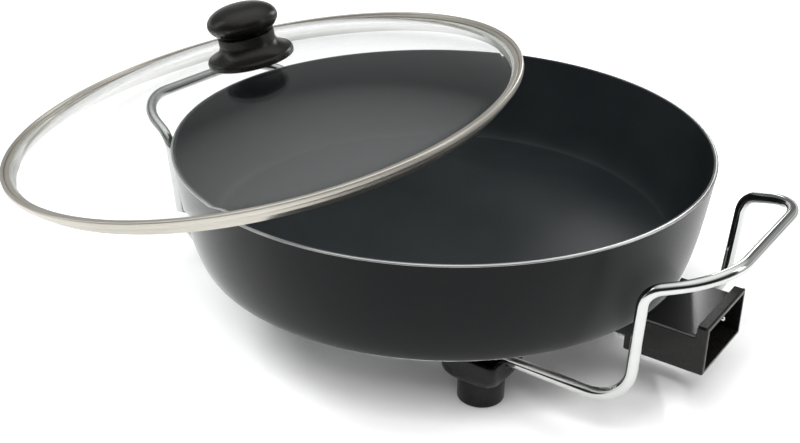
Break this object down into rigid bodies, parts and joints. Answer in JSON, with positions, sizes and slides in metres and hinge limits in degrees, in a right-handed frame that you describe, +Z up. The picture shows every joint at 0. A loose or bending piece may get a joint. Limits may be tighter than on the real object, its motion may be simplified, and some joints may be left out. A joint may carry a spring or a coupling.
{
  "type": "electric snack pan",
  "caption": "Round electric snack pan on short feet, with chromed wire handles, a plug socket at one side and a domed glass lid held off it, tilted.",
  "frame": {"origin": "on the plane the feet stand on, at the middle of the outline seen from above with the lid held off as shown", "axes": "+Z up, +X from the pan towards the plug socket and the right handle, +Y to the back"},
  "size_m": [0.4737, 0.3701, 0.1981],
  "materials": {
    "nonstick_coating": "satin non-stick coating",
    "bare_aluminium": "plain turned",
    "element_steel": "heat-tinted, dull",
    "chromed_steel": "polished",
    "satin_steel": "satin",
    "screw_steel": "zinc plated",
    "ceramic": "unglazed",
    "satin_black_plastic": "satin",
    "gloss_black_plastic": "gloss",
    "silicone": "matte",
    "clear_glass": "clear polished"
  },
  "bodies": {
    "pan": {"pan_body": "nonstick_coating", "heat_plate": "bare_aluminium", "heating_element": "element_steel", "ceramic_bush_front": "ceramic", "ceramic_bush_back": "ceramic", "contact_pin_front": "chromed_steel", "contact_pin_back": "chromed_steel", "probe_sleeve": "element_steel", "socket_housing": "satin_black_plastic", "socket_cover": "gloss_black_plastic", "socket_screw_front": "screw_steel", "socket_screw_back": "screw_steel", "foot_front_left": "satin_black_plastic", "foot_front_right": "satin_black_plastic", "foot_back_left": "satin_black_plastic", "foot_back_right": "satin_black_plastic", "foot_screw_front_left": "screw_steel", "foot_screw_front_right": "screw_steel", "foot_screw_back_left": "screw_steel", "foot_screw_back_right": "screw_steel", "handle_left": "chromed_steel", "handle_right": "chromed_steel"},
    "lid": {"lid_glass": "clear_glass", "lid_band": "satin_steel", "knob_base": "satin_black_plastic", "knob_cap": "satin_black_plastic", "knob_seal_upper": "silicone", "knob_seal_lower": "silicone", "knob_washer": "screw_steel", "knob_screw": "screw_steel"}
  },
  "joints": [
    {"name": "lid_lift", "type": "slide", "parent": "pan", "child": "lid", "axis": [0, 0, 1], "range_m": [0, 0.15]}
  ]
}
